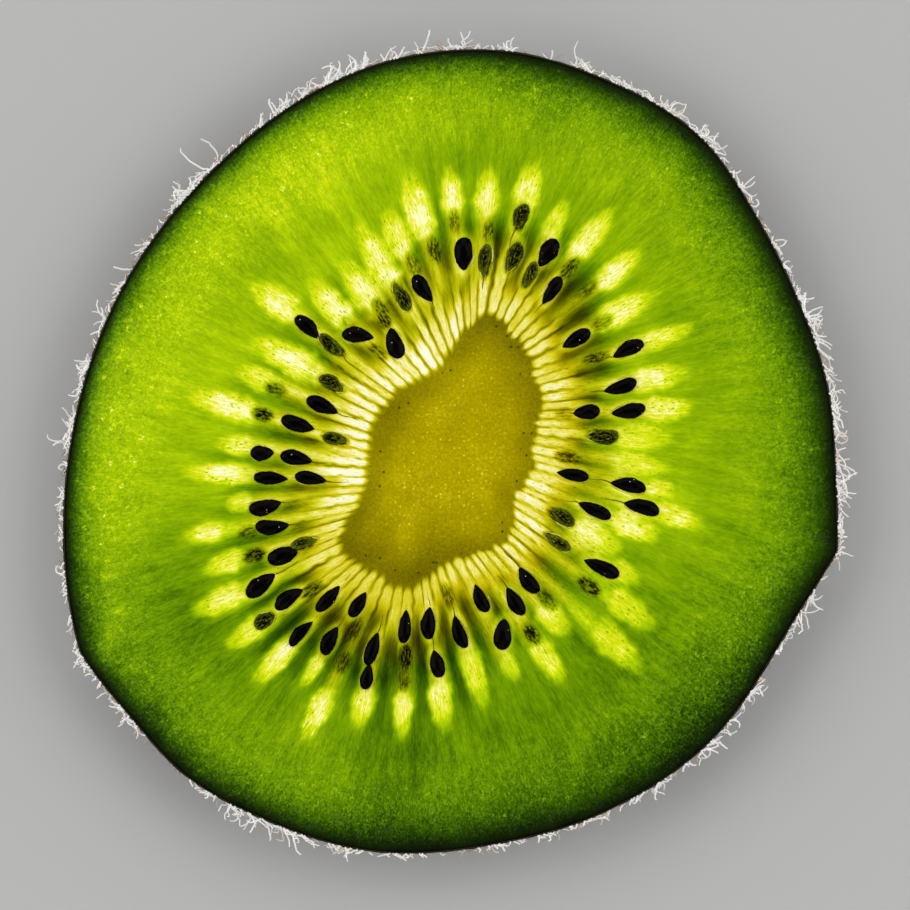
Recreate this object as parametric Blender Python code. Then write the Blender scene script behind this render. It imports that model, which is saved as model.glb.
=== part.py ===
"""A round slice of kiwifruit, cut across the fruit and lying on its smaller cut face. Metres, +Z up.

Places on the slice are given in the fruit's own fan: every fibre runs straight out from a short
spine in the middle of the core, so a place is a heading in degrees and a distance from the spine.
"""

import math

import bmesh
import bpy
import numpy as np

MM = 0.001

# The fruit and the cut
THICKNESS = 5.0 * MM
WIDEST_HEIGHT = 4.65 * MM  # above this the skin's edge rolls over into the upper cut
FRUIT_HALF_LENGTH = 33.0 * MM  # from the fruit's middle to its end
CUT_FROM_MIDDLE = 6.0 * MM  # the upper cut lies this far from the fruit's middle
SLANT = 0.45 * MM  # how far the lower cut lies towards SLANT_HEADING from the upper one
SLANT_HEADING = 150.0
SPINE_HALF_LENGTH = 5.5 * MM
SPINE_HEADING = 66.0

# The skin's outline on the upper cut, as (heading in degrees, distance in mm), with its two corners
SKIN = (
    (4, 24.8), (17, 23.3), (31, 22.35), (46, 22.15), (66, 21.55), (88, 22.1), (108, 22.8),
    (135, 23.4), (154, 24.0), (180, 24.3), (203.5, 24.65), (215, 23.35), (228, 22.75), (243, 22.0),
    (266, 22.3), (283, 23.0), (299, 24.45), (315, 25.75), (337, 26.35), (344, 27.15), (351, 26.1),
)
SKIN_CORNERS = (203.5, 344)

# The core's outline, in the same way
CORE = (
    (6, 5.55), (23, 4.75), (42, 4.15), (77, 4.05), (97, 3.45), (110, 2.9), (130, 3.2), (142, 4.15),
    (160, 4.55), (174, 4.0), (191, 4.3), (207, 5.4), (222, 4.35), (241, 3.6), (262, 4.15),
    (290, 4.45), (305, 5.4), (319, 6.8), (331, 5.8), (340, 6.2), (351, 5.65),
)
CORE_GAP = 0.3 * MM

# The locules, the pulpy chambers, as (heading, inner end, outer end, width), lengths in mm
LOCULES = (
    (2, 12.5, 15.6, 1.5), (9, 11.6, 15.2, 1.5), (17.5, 12.4, 15.8, 1.2), (27.5, 10.0, 13.9, 1.6),
    (38, 10.6, 14.2, 1.6), (50.5, 10.3, 14.3, 1.7), (62.5, 10.3, 13.0, 1.3), (74.5, 11.8, 14.6, 1.6),
    (86, 11.0, 13.9, 1.5), (96, 11.4, 14.4, 1.3), (105.5, 10.7, 15.1, 1.6), (113, 10.3, 13.5, 1.5),
    (120, 9.3, 13.7, 1.6), (127.5, 9.0, 12.7, 1.6), (136, 9.7, 13.3, 1.5), (143, 13.0, 16.5, 1.6),
    (151.5, 9.7, 14.4, 1.6), (158, 11.9, 14.7, 1.3), (165, 12.5, 17.2, 1.5), (172.5, 12.2, 14.5, 1.2),
    (178.5, 12.2, 16.2, 1.3), (185, 11.8, 13.4, 1.2), (190.5, 13.7, 16.2, 1.2), (198, 12.5, 15.1, 1.3),
    (205.5, 12.9, 16.4, 1.5), (215.5, 12.3, 15.1, 1.3), (226, 11.4, 15.0, 1.3), (236.5, 10.7, 12.9, 0.9),
    (244, 12.5, 15.8, 1.5), (255.5, 11.4, 13.9, 1.5), (267.5, 11.5, 14.5, 1.3), (278, 11.2, 14.4, 1.5),
    (288.5, 10.0, 14.0, 1.3), (297.5, 12.0, 13.8, 1.0), (305.5, 12.8, 15.7, 1.3), (312, 11.2, 13.8, 1.4),
    (317, 15.1, 18.8, 1.6), (323.5, 14.5, 18.0, 1.5), (328.5, 13.6, 15.6, 1.2), (332, 9.9, 13.5, 1.6),
    (337.5, 12.2, 15.5, 1.4), (342, 14.7, 17.9, 1.2), (346, 13.6, 15.6, 1.1), (350, 10.9, 14.6, 1.2),
    (356, 10.7, 14.5, 1.5),
)
LOCULE_DEPTH = 0.16 * MM

# The seeds that lie in the cut, as (heading, distance, turn off the fibres, length, width). A seed's
# pointed end is towards the spine, and a half turn puts its round end there.
SEEDS = (
    (2, 8.6, 5, 1.8, 0.95), (2, 11.4, 8, 2.3, 0.95), (8.2, 10.75, 9, 2.25, 0.9), (17, 11.4, 9, 2.25, 0.95),
    (26, 8.0, 5, 2.1, 0.95), (48.5, 7.75, 8, 2.15, 0.85), (59.5, 9.4, -2, 2.15, 1.15),
    (93.5, 8.55, -5, 2.35, 1.25), (111.5, 7.75, 13, 2.1, 1.0), (130, 6.42, 157, 2.2, 1.15),
    (137, 8.7, 36, 2.1, 1.0), (143.5, 11.8, -7, 2.1, 0.95), (158.5, 8.5, -3, 2.25, 1.0),
    (165, 9.6, -3, 2.3, 1.0), (173.5, 11.4, 7, 1.55, 1.0), (174, 9.1, -5, 2.15, 0.95),
    (179.5, 7.9, -9, 2.1, 0.85), (179.5, 10.55, -3, 2.2, 0.85), (186.5, 10.75, 7, 2.2, 1.05),
    (192, 10.25, -9, 2.25, 1.0), (201, 9.65, -2, 2.25, 1.2), (206.5, 11.55, 11, 2.45, 1.15),
    (214.5, 10.05, 1, 2.2, 1.0), (223.5, 7.65, 4, 2.25, 0.85), (226, 10.5, 1, 2.15, 0.75),
    (236, 9.4, 7, 2.05, 0.95), (237.5, 6.35, 0, 1.9, 0.85), (253.5, 8.65, -2, 2.25, 0.85),
    (254.5, 10.55, 4, 1.7, 0.8), (266.5, 7.1, -2, 2.2, 0.8), (278, 7.35, -11, 2.2, 0.95),
    (278.5, 10.15, 4, 1.85, 0.95), (288.5, 8.9, 0, 2.25, 0.85), (299.5, 7.95, -6, 1.95, 0.85),
    (300, 10.75, -35, 2.2, 1.2), (307.5, 9.7, -7, 2.1, 0.95), (314, 9.45, -7, 2.1, 0.95),
    (327, 13.05, 9, 2.5, 0.95), (337.5, 10.9, -2, 2.35, 0.85), (341.5, 13.75, 4, 2.4, 1.0),
    (344, 8.7, 7, 2.1, 0.8), (345, 12.45, 5, 2.35, 0.95),
)
# The seeds half sunk in the flesh, in the same way
SUNK_SEEDS = (
    (61.5, 7.5, 6, 1.9, 0.8), (72.5, 8.2, -8, 2.2, 1.0), (74, 10.9, -9, 1.9, 1.0), (84.5, 7.8, -1, 2.3, 0.8),
    (119.5, 8.25, 180, 2.1, 0.9), (143.5, 9.75, -8, 2.3, 0.85), (152, 8.55, -2, 1.9, 0.9),
    (166.5, 6.95, 5, 1.8, 0.8), (200, 8.15, -4, 1.9, 0.7), (215.5, 12.15, 1, 1.6, 1.0),
    (326.5, 9.6, 1, 2.0, 0.75), (332.5, 9.05, -4, 2.0, 0.9), (355.5, 9.95, 8, 2.1, 1.0),
)
SEED_RISE = 0.36 * MM  # how far a seed's top stands above the cut
SUNK_SEED_RISE = 0.16 * MM
SEED_FLATNESS = 0.75  # a seed's depth as a share of its width
SEED_GIRTH = ((0.22, 0.72), (0.56, 1.0), (0.86, 0.75))  # (share of the length from the point, of the width)
SEED_SIDES = 6
SEED_ROLL = math.pi / SEED_SIDES  # turns a flat side, not an edge, upwards

# The cut's relief
RIM_DROP = 0.2 * MM  # the flesh dips this much towards the skin
RIM_REACH = 1.6 * MM
CORE_CROWN = 0.18 * MM  # the middle of the core stands up this much
SWELL = 0.08 * MM  # slow unevenness of the cut
SWELL_WAVES = ((19.0, 24), (12.5, 97), (8.5, 148))  # each wave's length in mm and heading
SKIN_EDGE = 0.35 * MM  # the skin rolls over into the cut across this width

# How finely each surface is divided
FLESH_STEPS = 180
CORE_STEPS = 120
TOP_SHARES = (0.0, 0.12, 0.24, 0.34, 0.42, 0.5, 0.58, 0.68, 0.84)  # of the way from the core to the rim
CORE_SHARES = (0.3, 0.55, 0.8)
FLANK_SHARES = (1.0, 0.65, 0.32, 0.09)  # of the widest height, down the skin
UNDERSIDE_SHARES = (0.0, 0.5, 0.97)

FLESH_COLOUR = (0.36, 0.52, 0.02, 1.0)
CORE_COLOUR = (0.42, 0.34, 0.02, 1.0)


def clear_scene():
    for item in list(bpy.data.objects):
        bpy.data.objects.remove(item, do_unlink=True)


def closed_curve(stations, corners=()):
    """The distance at any heading on a closed outline, smooth through its stations except at its corners."""
    heading = np.array([station[0] for station in stations], float)
    distance = np.array([station[1] for station in stations], float) * MM
    step = np.diff(heading, append=heading[0] + 360)
    slope = np.diff(distance, append=distance[0]) / step
    step_before, slope_before = np.roll(step, 1), np.roll(slope, 1)
    tangent = (slope_before * step + slope * step_before) / (step + step_before)
    leaving, arriving = tangent.copy(), np.roll(tangent, -1)
    for corner in corners:
        at = int(np.argmin(abs(heading - corner)))
        leaving[at], arriving[at - 1] = slope[at], slope[at - 1]

    def at_heading(degrees):
        turned = (np.asarray(degrees, float) - heading[0]) % 360 + heading[0]
        i = np.searchsorted(heading, turned, side="right") - 1
        t = (turned - heading[i]) / step[i]
        rise = 3 * t**2 - 2 * t**3
        bends = (t - 2 * t**2 + t**3) * leaving[i] + (t**3 - t**2) * arriving[i]
        return distance[i] + rise * slope[i] * step[i] + step[i] * bends

    return at_heading


skin_reach = closed_curve(SKIN, SKIN_CORNERS)
core_reach = closed_curve(CORE)


def from_spine(degrees, distance):
    """A place in the fan as x and y, from the middle of the spine."""
    heading, spine = np.radians(degrees), math.radians(SPINE_HEADING)
    along = SPINE_HALF_LENGTH * np.cos(heading - spine)
    x = along * math.cos(spine) + distance * np.cos(heading)
    y = along * math.sin(spine) + distance * np.sin(heading)
    return x, y


def outline_middle():
    """The middle of the box round the skin's outline, which becomes the slice's origin."""
    headings = np.arange(0, 360, 0.25)
    x, y = from_spine(headings, skin_reach(headings))
    return (x.min() + x.max()) / 2, (y.min() + y.max()) / 2


MIDDLE = outline_middle()


def place(degrees, distance):
    """A place in the fan as x and y in the slice's frame."""
    x, y = from_spine(degrees, distance)
    return x - MIDDLE[0], y - MIDDLE[1]


def lowered(x, y, z):
    """Moves points of the upper cut's outline in, as the fruit narrows towards its end and the cut slants."""
    down = (WIDEST_HEIGHT - z) / WIDEST_HEIGHT
    from_middle = CUT_FROM_MIDDLE + WIDEST_HEIGHT - z
    narrowing = math.sqrt(1 - (from_middle / FRUIT_HALF_LENGTH) ** 2) / math.sqrt(
        1 - (CUT_FROM_MIDDLE / FRUIT_HALF_LENGTH) ** 2
    )
    slant = math.radians(SLANT_HEADING)
    return (
        x * narrowing + SLANT * down * math.cos(slant),
        y * narrowing + SLANT * down * math.sin(slant),
    )


def swell(degrees, distance):
    """The slow unevenness that a knife leaves, as waves (length, heading) across the whole cut."""
    x, y = place(degrees, distance)
    total = 0.0
    for length, heading in SWELL_WAVES:
        along = x * math.cos(math.radians(heading)) + y * math.sin(math.radians(heading))
        total = total + np.sin(math.tau * along / (length * MM))
    return SWELL * total / len(SWELL_WAVES)


def locule_hollow(degrees, distance):
    """How far the cut is sunk over the locules."""
    sunk = np.zeros(np.broadcast(degrees, distance).shape)
    for heading, inner, outer, width in LOCULES:
        aside = np.radians((degrees - heading + 180) % 360 - 180) * distance / (width * MM / 2)
        along = (distance / MM - (inner + outer) / 2) / ((outer - inner) / 2)
        sunk = np.maximum(sunk, np.exp(-(aside**2) - along**4))
    return LOCULE_DEPTH * sunk


def flesh_height(degrees, distance):
    """The upper cut's height over the flesh."""
    from_skin = skin_reach(degrees) - distance
    rim = RIM_DROP * np.exp(-((from_skin / RIM_REACH) ** 2))
    return THICKNESS + swell(degrees, distance) - locule_hollow(degrees, distance) - rim


def core_height(degrees, distance):
    """The upper cut's height over the core."""
    share = distance / core_reach(degrees)
    return THICKNESS + swell(degrees, distance) + CORE_CROWN * (1 - share**2)


def ring(x, y, z):
    return np.stack(np.broadcast_arrays(x, y, z), axis=1)


def flesh_rings(headings):
    """Rings of points round the flesh: from the hole out over the cut, down the skin and back underneath."""
    skin, core = skin_reach(headings), core_reach(headings)
    hole = core + CORE_GAP
    edge = skin - SKIN_EDGE
    rings = []
    for share in TOP_SHARES:
        distance = hole + share * (edge - hole)
        rings.append(ring(*place(headings, distance), flesh_height(headings, distance)))
    rings.append(ring(*place(headings, edge), flesh_height(headings, edge)))
    for share in FLANK_SHARES:
        z = share * WIDEST_HEIGHT
        rings.append(ring(*lowered(*place(headings, skin), z), z))
    for share in UNDERSIDE_SHARES:
        distance = edge + share * (hole - edge)
        if share < UNDERSIDE_SHARES[-1]:
            rings.append(ring(*lowered(*place(headings, distance), 0.0), 0.0))
    rings.append(ring(*place(headings, hole), 0.0))
    return rings


def core_rings(headings):
    """Rings of points round the core, from the crown out over the cut, down its side and in underneath."""
    core = core_reach(headings)
    rings = []
    for share in (*CORE_SHARES, 1.0):
        rings.append(ring(*place(headings, share * core), core_height(headings, share * core)))
    rings.append(ring(*place(headings, core), 0.0))
    return rings


def object_from(name, rings, poles):
    """A closed mesh through rings of points, joined round from last to first or closed at two poles."""
    mesh_maker = bmesh.new()
    loops = [[mesh_maker.verts.new(point) for point in points] for points in rings]
    pairs = list(zip(loops, loops[1:]))
    if not poles:
        pairs.append((loops[-1], loops[0]))
    for one, other in pairs:
        for i in range(len(one)):
            j = (i + 1) % len(one)
            mesh_maker.faces.new((one[i], one[j], other[j], other[i]))
    for pole, loop in zip(poles, (loops[0], loops[-1])):
        tip = mesh_maker.verts.new(pole)
        for i in range(len(loop)):
            mesh_maker.faces.new((loop[i - 1], loop[i], tip))
    bmesh.ops.recalc_face_normals(mesh_maker, faces=mesh_maker.faces)
    bmesh.ops.triangulate(mesh_maker, faces=mesh_maker.faces)
    mesh = bpy.data.meshes.new(name)
    mesh_maker.to_mesh(mesh)
    mesh_maker.free()
    made = bpy.data.objects.new(name, mesh)
    bpy.context.scene.collection.objects.link(made)
    return made


def make_seed(name, heading, distance, turn, length, width, rise):
    """One pip, flat across the cut, with its point towards the spine."""
    length, width, distance = length * MM, width * MM, distance * MM
    x, y = place(heading, distance)
    z = float(flesh_height(heading, distance)) + rise - width * SEED_FLATNESS / 2
    axis = math.radians(heading + turn)
    out = np.array((math.cos(axis), math.sin(axis), 0.0))
    aside = np.array((-math.sin(axis), math.cos(axis), 0.0))
    middle = np.array((float(x), float(y), z))
    rings = []
    for share, girth in SEED_GIRTH:
        centre = middle + out * (share - 0.5) * length
        points = []
        for i in range(SEED_SIDES):
            angle = SEED_ROLL + math.tau * i / SEED_SIDES
            across = aside * math.cos(angle) * width / 2 * girth
            up = np.array((0.0, 0.0, math.sin(angle) * width * SEED_FLATNESS / 2 * girth))
            points.append(centre + across + up)
        rings.append(points)
    return object_from(name, rings, (middle - out * length / 2, middle + out * length / 2))


def fuse_seeds(flesh):
    """Joins every seed to the flesh with one Boolean union and removes the seeds' own objects."""
    pips = bpy.data.collections.new("pips")
    bpy.context.scene.collection.children.link(pips)
    kinds = ((SEEDS, SEED_RISE), (SUNK_SEEDS, SUNK_SEED_RISE))
    for table, rise in kinds:
        for row in table:
            pip = make_seed("pip", *row, rise)
            bpy.context.scene.collection.objects.unlink(pip)
            pips.objects.link(pip)
    union = flesh.modifiers.new("pips", "BOOLEAN")
    union.operation = "UNION"
    union.operand_type = "COLLECTION"
    union.collection = pips
    bpy.context.view_layer.update()
    fused = bpy.data.meshes.new_from_object(flesh.evaluated_get(bpy.context.evaluated_depsgraph_get()))
    flesh.modifiers.remove(union)
    flesh.data = fused
    for pip in list(pips.objects):
        bpy.data.objects.remove(pip, do_unlink=True)
    bpy.data.collections.remove(pips)


def drop_scraps(item):
    """Keeps the largest body of a mesh and removes loose scraps that a union leaves."""
    mesh_maker = bmesh.new()
    mesh_maker.from_mesh(item.data)
    left, bodies = set(mesh_maker.verts), []
    while left:
        body, edge = set(), [left.pop()]
        while edge:
            vertex = edge.pop()
            body.add(vertex)
            near = {link.other_vert(vertex) for link in vertex.link_edges} & left
            left -= near
            edge.extend(near)
        bodies.append(body)
    bodies.sort(key=len)
    for body in bodies[:-1]:
        bmesh.ops.delete(mesh_maker, geom=list(body), context="VERTS")
    mesh_maker.to_mesh(item.data)
    mesh_maker.free()


def paint(item, colour, roughness):
    material = bpy.data.materials.new(item.name)
    material.use_nodes = True
    shader = material.node_tree.nodes["Principled BSDF"]
    shader.inputs["Base Color"].default_value = colour
    shader.inputs["Roughness"].default_value = roughness
    shader.inputs["Metallic"].default_value = 0.0
    item.data.materials.clear()
    item.data.materials.append(material)


def make_flesh():
    headings = np.arange(FLESH_STEPS) * 360 / FLESH_STEPS
    flesh = object_from("flesh", flesh_rings(headings), ())
    fuse_seeds(flesh)
    drop_scraps(flesh)
    paint(flesh, FLESH_COLOUR, 0.35)


def make_core():
    headings = np.arange(CORE_STEPS) * 360 / CORE_STEPS
    x, y = place(SPINE_HEADING + 90, 0.0)
    poles = ((x, y, float(core_height(0.0, 0.0))), (x, y, 0.0))
    core = object_from("core", core_rings(headings), poles)
    paint(core, CORE_COLOUR, 0.45)


clear_scene()
make_flesh()
make_core()
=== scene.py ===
"""The looks of a round slice of fresh kiwifruit, lying flat: wet flesh, core, seeds, skin and hairs.

Places on the slice are given in the fruit's own fan, as in the CAD source: every fibre runs straight
out from a short spine in the core, so a place is a heading in degrees and a distance from the spine.
Lengths in the tables are millimetres, and scene units are metres. +Z is up out of the shown cut.
"""

import math

import bpy
import numpy as np
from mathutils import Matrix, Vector


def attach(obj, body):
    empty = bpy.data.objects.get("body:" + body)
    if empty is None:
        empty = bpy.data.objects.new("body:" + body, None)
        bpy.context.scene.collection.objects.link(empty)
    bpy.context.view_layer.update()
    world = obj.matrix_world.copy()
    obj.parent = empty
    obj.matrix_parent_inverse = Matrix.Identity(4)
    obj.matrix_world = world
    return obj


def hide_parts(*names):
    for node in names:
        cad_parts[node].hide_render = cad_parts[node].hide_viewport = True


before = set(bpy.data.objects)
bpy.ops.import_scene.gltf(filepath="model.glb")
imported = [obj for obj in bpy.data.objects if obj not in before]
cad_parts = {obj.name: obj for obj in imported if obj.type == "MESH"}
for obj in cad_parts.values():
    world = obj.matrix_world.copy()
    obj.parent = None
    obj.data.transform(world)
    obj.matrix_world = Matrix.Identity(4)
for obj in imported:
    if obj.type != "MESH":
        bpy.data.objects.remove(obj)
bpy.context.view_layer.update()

MM = 0.001

# The part's own values

THICKNESS = 5.0
WIDEST_HEIGHT = 4.65
FRUIT_HALF_LENGTH = 33.0
CUT_FROM_MIDDLE = 6.0
SLANT = 0.45
SLANT_HEADING = 150.0
SPINE_HALF_LENGTH = 5.5
SPINE_HEADING = 66.0

SKIN = (
    (4, 24.8), (17, 23.3), (31, 22.35), (46, 22.15), (66, 21.55), (88, 22.1), (108, 22.8),
    (135, 23.4), (154, 24.0), (180, 24.3), (203.5, 24.65), (215, 23.35), (228, 22.75), (243, 22.0),
    (266, 22.3), (283, 23.0), (299, 24.45), (315, 25.75), (337, 26.35), (344, 27.15), (351, 26.1),
)
SKIN_CORNERS = (203.5, 344)
CORE = (
    (6, 5.55), (23, 4.75), (42, 4.15), (77, 4.05), (97, 3.45), (110, 2.9), (130, 3.2), (142, 4.15),
    (160, 4.55), (174, 4.0), (191, 4.3), (207, 5.4), (222, 4.35), (241, 3.6), (262, 4.15),
    (290, 4.45), (305, 5.4), (319, 6.8), (331, 5.8), (340, 6.2), (351, 5.65),
)

# The locules, as (heading, inner end, outer end, width, how bright the pulp is)
LOCULES = (
    (2, 12.5, 15.6, 1.5, 0.8), (9, 11.6, 15.2, 1.5, 0.9), (17.5, 12.4, 15.8, 1.2, 0.7),
    (27.5, 10.0, 13.9, 1.6, 0.9), (38, 10.6, 14.2, 1.6, 0.95), (50.5, 10.3, 14.3, 1.7, 0.9),
    (62.5, 10.3, 13.0, 1.3, 0.6), (74.5, 11.8, 14.6, 1.6, 0.9), (86, 11.0, 13.9, 1.5, 0.85),
    (96, 11.4, 14.4, 1.3, 1.0), (105.5, 10.7, 15.1, 1.6, 1.0), (113, 10.3, 13.5, 1.5, 0.9),
    (120, 9.3, 13.7, 1.6, 1.0), (127.5, 9.0, 12.7, 1.6, 0.95), (136, 9.7, 13.3, 1.5, 1.0),
    (143, 13.0, 16.5, 1.6, 0.95), (151.5, 9.7, 14.4, 1.6, 1.0), (158, 11.9, 14.7, 1.3, 0.75),
    (165, 12.5, 17.2, 1.5, 1.0), (172.5, 12.2, 14.5, 1.2, 0.85), (178.5, 12.2, 16.2, 1.3, 1.0),
    (185, 11.8, 13.4, 1.2, 0.8), (190.5, 13.7, 16.2, 1.2, 0.85), (198, 12.5, 15.1, 1.3, 0.8),
    (205.5, 12.9, 16.4, 1.5, 0.8), (215.5, 12.3, 15.1, 1.3, 0.75), (226, 11.4, 15.0, 1.3, 0.95),
    (236.5, 10.7, 12.9, 0.9, 0.75), (244, 12.5, 15.8, 1.5, 0.95), (255.5, 11.4, 13.9, 1.5, 0.9),
    (267.5, 11.5, 14.5, 1.3, 0.9), (278, 11.2, 14.4, 1.5, 0.9), (288.5, 10.0, 14.0, 1.3, 0.75),
    (297.5, 12.0, 13.8, 1.0, 0.5), (305.5, 12.8, 15.7, 1.3, 0.75), (312, 11.2, 13.8, 1.4, 0.8),
    (317, 15.1, 18.8, 1.6, 0.65), (323.5, 14.5, 18.0, 1.5, 0.6), (328.5, 13.6, 15.6, 1.2, 0.4),
    (332, 9.9, 13.5, 1.6, 1.0), (337.5, 12.2, 15.5, 1.4, 0.85), (342, 14.7, 17.9, 1.2, 0.8),
    (346, 13.6, 15.6, 1.1, 0.75), (350, 10.9, 14.6, 1.2, 0.7), (356, 10.7, 14.5, 1.5, 0.6),
)
LOCULE_DEPTH = 0.16

# Seeds in the cut, as (heading, distance, turn off the fibres, length, width), pointed end inwards
SEEDS = (
    (2, 8.6, 5, 1.8, 0.95), (2, 11.4, 8, 2.3, 0.95), (8.2, 10.75, 9, 2.25, 0.9), (17, 11.4, 9, 2.25, 0.95),
    (26, 8.0, 5, 2.1, 0.95), (48.5, 7.75, 8, 2.15, 0.85), (59.5, 9.4, -2, 2.15, 1.15),
    (93.5, 8.55, -5, 2.35, 1.25), (111.5, 7.75, 13, 2.1, 1.0), (130, 6.42, 157, 2.2, 1.15),
    (137, 8.7, 36, 2.1, 1.0), (143.5, 11.8, -7, 2.1, 0.95), (158.5, 8.5, -3, 2.25, 1.0),
    (165, 9.6, -3, 2.3, 1.0), (173.5, 11.4, 7, 1.55, 1.0), (174, 9.1, -5, 2.15, 0.95),
    (179.5, 7.9, -9, 2.1, 0.85), (179.5, 10.55, -3, 2.2, 0.85), (186.5, 10.75, 7, 2.2, 1.05),
    (192, 10.25, -9, 2.25, 1.0), (201, 9.65, -2, 2.25, 1.2), (206.5, 11.55, 11, 2.45, 1.15),
    (214.5, 10.05, 1, 2.2, 1.0), (223.5, 7.65, 4, 2.25, 0.85), (226, 10.5, 1, 2.15, 0.75),
    (236, 9.4, 7, 2.05, 0.95), (237.5, 6.35, 0, 1.9, 0.85), (253.5, 8.65, -2, 2.25, 0.85),
    (254.5, 10.55, 4, 1.7, 0.8), (266.5, 7.1, -2, 2.2, 0.8), (278, 7.35, -11, 2.2, 0.95),
    (278.5, 10.15, 4, 1.85, 0.95), (288.5, 8.9, 0, 2.25, 0.85), (299.5, 7.95, -6, 1.95, 0.85),
    (300, 10.75, -35, 2.2, 1.2), (307.5, 9.7, -7, 2.1, 0.95), (314, 9.45, -7, 2.1, 0.95),
    (327, 13.05, 9, 2.5, 0.95), (337.5, 10.9, -2, 2.35, 0.85), (341.5, 13.75, 4, 2.4, 1.0),
    (344, 8.7, 7, 2.1, 0.8), (345, 12.45, 5, 2.35, 0.95),
)
SUNK_SEEDS = (
    (61.5, 7.5, 6, 1.9, 0.8), (72.5, 8.2, -8, 2.2, 1.0), (74, 10.9, -9, 1.9, 1.0), (84.5, 7.8, -1, 2.3, 0.8),
    (119.5, 8.25, 180, 2.1, 0.9), (143.5, 9.75, -8, 2.3, 0.85), (152, 8.55, -2, 1.9, 0.9),
    (166.5, 6.95, 5, 1.8, 0.8), (200, 8.15, -4, 1.9, 0.7), (215.5, 12.15, 1, 1.6, 1.0),
    (326.5, 9.6, 1, 2.0, 0.75), (332.5, 9.05, -4, 2.0, 0.9), (355.5, 9.95, 8, 2.1, 1.0),
)
SEED_RISE = 0.36
SUNK_SEED_RISE = 0.16
SEED_FLATNESS = 0.75
SUNK_SEED_FLATNESS = 0.48
SEED_MORE = 0.06  # the wet coat round each seed

RIM_DROP = 0.2
RIM_REACH = 1.6
CORE_CROWN = 0.18
SWELL = 0.08
SWELL_WAVES = ((19.0, 24), (12.5, 97), (8.5, 148))
SKIN_EDGE = 0.35

# Looks

# Seeds that lie deep in the flesh and show through it, as (heading, distance, length, width, darkness)
DEEP_SEEDS = (
    (103.8, 9.64, 1.9, 0.9, 0.6), (126.9, 8.70, 1.6, 0.9, 0.55), (128.2, 7.95, 1.2, 0.9, 0.7),
    (136.4, 7.02, 1.6, 0.8, 0.5), (111.7, 9.43, 1.9, 0.9, 0.45), (96.0, 10.91, 1.7, 0.8, 0.45),
    (84.5, 9.81, 1.5, 0.8, 0.5), (48.9, 9.63, 1.9, 0.9, 0.65), (38.9, 9.86, 1.7, 0.8, 0.45),
    (27.1, 10.02, 1.7, 0.9, 0.35), (17.7, 9.15, 1.9, 0.7, 0.7), (348.4, 8.02, 1.8, 0.9, 0.6),
    (322.4, 13.03, 1.9, 1.0, 0.7), (313.7, 11.27, 1.7, 0.9, 0.5), (305.8, 12.08, 1.7, 0.9, 0.75),
    (158.9, 11.81, 1.6, 0.9, 0.6), (165.0, 12.06, 1.5, 0.9, 0.85), (198.4, 11.62, 1.6, 0.9, 0.85),
    (192.2, 11.88, 1.4, 0.8, 0.55), (267.6, 9.14, 1.8, 0.8, 1.0), (267.3, 10.80, 1.5, 0.8, 0.45),
    (216.2, 8.42, 1.7, 0.8, 0.7), (242.5, 7.87, 1.8, 0.8, 0.5), (288.3, 6.34, 1.8, 0.8, 0.45),
    (136.5, 9.58, 1.5, 0.8, 0.3), (244.5, 10.2, 1.6, 0.9, 0.5), (1.5, 7.2, 1.3, 0.8, 0.3),
)

# Paler patches and rows of glints in the outer flesh, as (x, y, direction, length, width, how much paler)
PATCHES = (
    (-22.9, -8.35, 17, 1.2, 0.3, 0.2), (-22.2, -10.6, 13, 1.0, 0.25, 0.2), (-16.2, 16.2, -36, 1.5, 0.35, 0.2),
    (-22.7, -12.6, 75, 3.2, 1.0, 0.13), (-21.2, -14.2, 40, 2.2, 1.3, 0.08), (-22.6, 6.5, 70, 5.0, 1.5, 0.05),
    (7.6, 10.9, 60, 4.0, 1.2, 0.05), (14.5, 17.0, -50, 5.0, 1.6, 0.06), (-7.3, 19.3, 20, 5.0, 2.0, 0.04),
    (10.5, -20.6, 20, 1.2, 0.8, -0.09), (-19.5, -17.4, -40, 1.5, 0.7, -0.1),
    (15.6, 21.0, -40, 1.4, 0.5, -0.1),
)

# How bright the outer flesh is, as (heading, share of full light), and how wide its dark rim is
FLESH_LIGHT = (
    (0, 0.575), (30, 0.57), (60, 0.605), (85, 0.595), (105, 0.67), (122, 0.765), (140, 0.73), (165, 0.765),
    (185, 0.73), (195, 0.57), (204, 0.55), (222, 0.525), (243, 0.56), (260, 0.475), (272, 0.42),
    (287, 0.48), (303, 0.465), (320, 0.41), (331, 0.515), (342, 0.575),
)
RIM_WIDTH = (
    (0, 1.95), (30, 1.8), (60, 1.7), (75, 1.7), (90, 1.38), (110, 1.24), (135, 1.12), (165, 1.12),
    (190, 1.35), (210, 1.45), (225, 1.6), (245, 1.5), (270, 1.8), (310, 1.85), (328, 1.55), (342, 2.2),
)
RIM_STEEPNESS = 1.25

# How bright the pulp between the stripes and the glowing ends is, by heading
INNER_LIGHT = (
    (0, 0.75), (45, 0.42), (90, 0.8), (135, 1.0), (180, 1.0), (225, 0.5), (265, 0.5), (315, 0.85),
)

# The pulp's glowing ends: how wide each shows, and how far out the dark walls between them run
GLOW_WIDTH = (
    (0, 0.98), (45, 0.97), (75, 1.16), (105, 1.1), (135, 1.0), (155, 0.95), (195, 1.0), (225, 1.14),
    (255, 1.06), (285, 1.0), (330, 0.98),
)
WALL_END = (
    (0, 12.5), (45, 12.3), (90, 12.6), (130, 14.2), (180, 15.0), (225, 14.4), (270, 14.2), (315, 13.9),
)

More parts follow.
